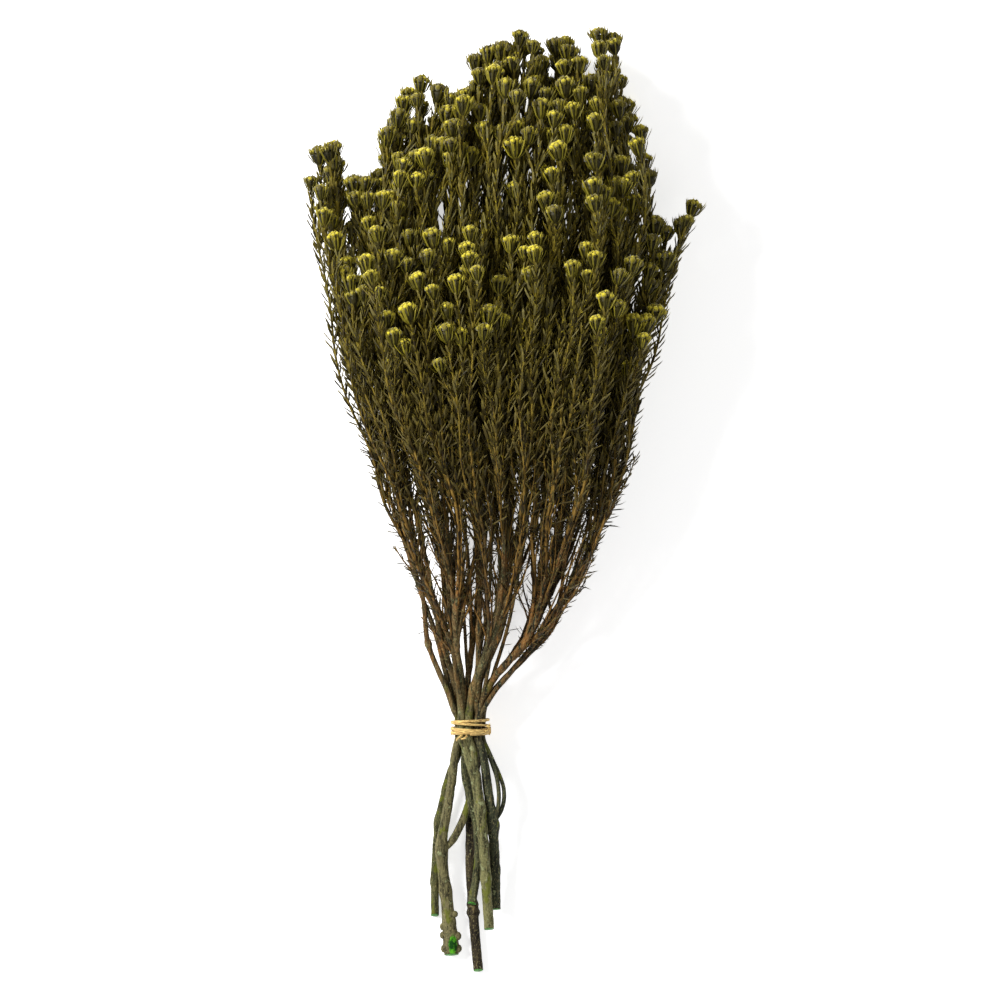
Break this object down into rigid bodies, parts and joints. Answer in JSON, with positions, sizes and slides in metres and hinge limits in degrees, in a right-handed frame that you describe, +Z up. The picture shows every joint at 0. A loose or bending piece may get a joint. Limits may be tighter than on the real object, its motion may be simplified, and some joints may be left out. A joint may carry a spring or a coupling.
{
  "type": "phylica bunch",
  "caption": "Tied bunch of woody phylica stems fanning out into leafy spires that end in domed flower heads, lying flat; for dried or fresh arrangements",
  "frame": {"origin": "middle of the footprint, on the surface that the bunch lies on", "axes": "+Y from the cut stem ends to the flowers, +X across the bunch to the right when seen from above with the flowers away from the viewer, +Z up"},
  "size_m": [0.2458, 0.5952, 0.1015],
  "materials": {
    "bark": "dry, cracked brown and grey bark with lichen, cut faces lime green",
    "leafy": "dry olive leaves, brown-green below, yellow-green flower heads at the tips",
    "raffia": "dry straw-coloured fibre with fine lengthwise streaks"
  },
  "bodies": {
    "root": {"raffia_tie": "raffia", "spray_back_01": "leafy", "spray_back_02": "leafy", "spray_back_03": "leafy", "spray_back_04": "leafy", "spray_back_05": "leafy", "spray_back_06": "leafy", "spray_back_07": "leafy", "spray_back_08": "leafy", "spray_back_09": "leafy", "spray_back_10": "leafy", "spray_back_11": "leafy", "spray_back_12": "leafy", "spray_back_13": "leafy", "spray_back_14": "leafy", "spray_back_15": "leafy", "spray_back_16": "leafy", "spray_back_17": "leafy", "spray_front_01": "leafy", "spray_front_02": "leafy", "spray_front_03": "leafy", "spray_front_04": "leafy", "spray_front_05": "leafy", "spray_front_06": "leafy", "spray_front_07": "leafy", "spray_front_08": "leafy", "spray_front_09": "leafy", "spray_front_10": "leafy", "spray_front_11": "leafy", "spray_front_12": "leafy", "spray_front_13": "leafy", "spray_front_14": "leafy", "spray_front_15": "leafy", "spray_front_16": "leafy", "spray_front_17": "leafy", "spray_middle_01": "leafy", "spray_middle_02": "leafy", "spray_middle_03": "leafy", "spray_middle_04": "leafy", "spray_middle_05": "leafy", "spray_middle_06": "leafy", "spray_middle_07": "leafy", "spray_middle_08": "leafy", "spray_middle_09": "leafy", "spray_middle_10": "leafy", "spray_middle_11": "leafy", "stem_dark_right": "bark", "stem_forked_pale": "bark", "stem_knobbed": "bark", "stem_longest": "bark", "stem_short_left": "bark", "stem_slim": "bark"}
  },
  "joints": []
}
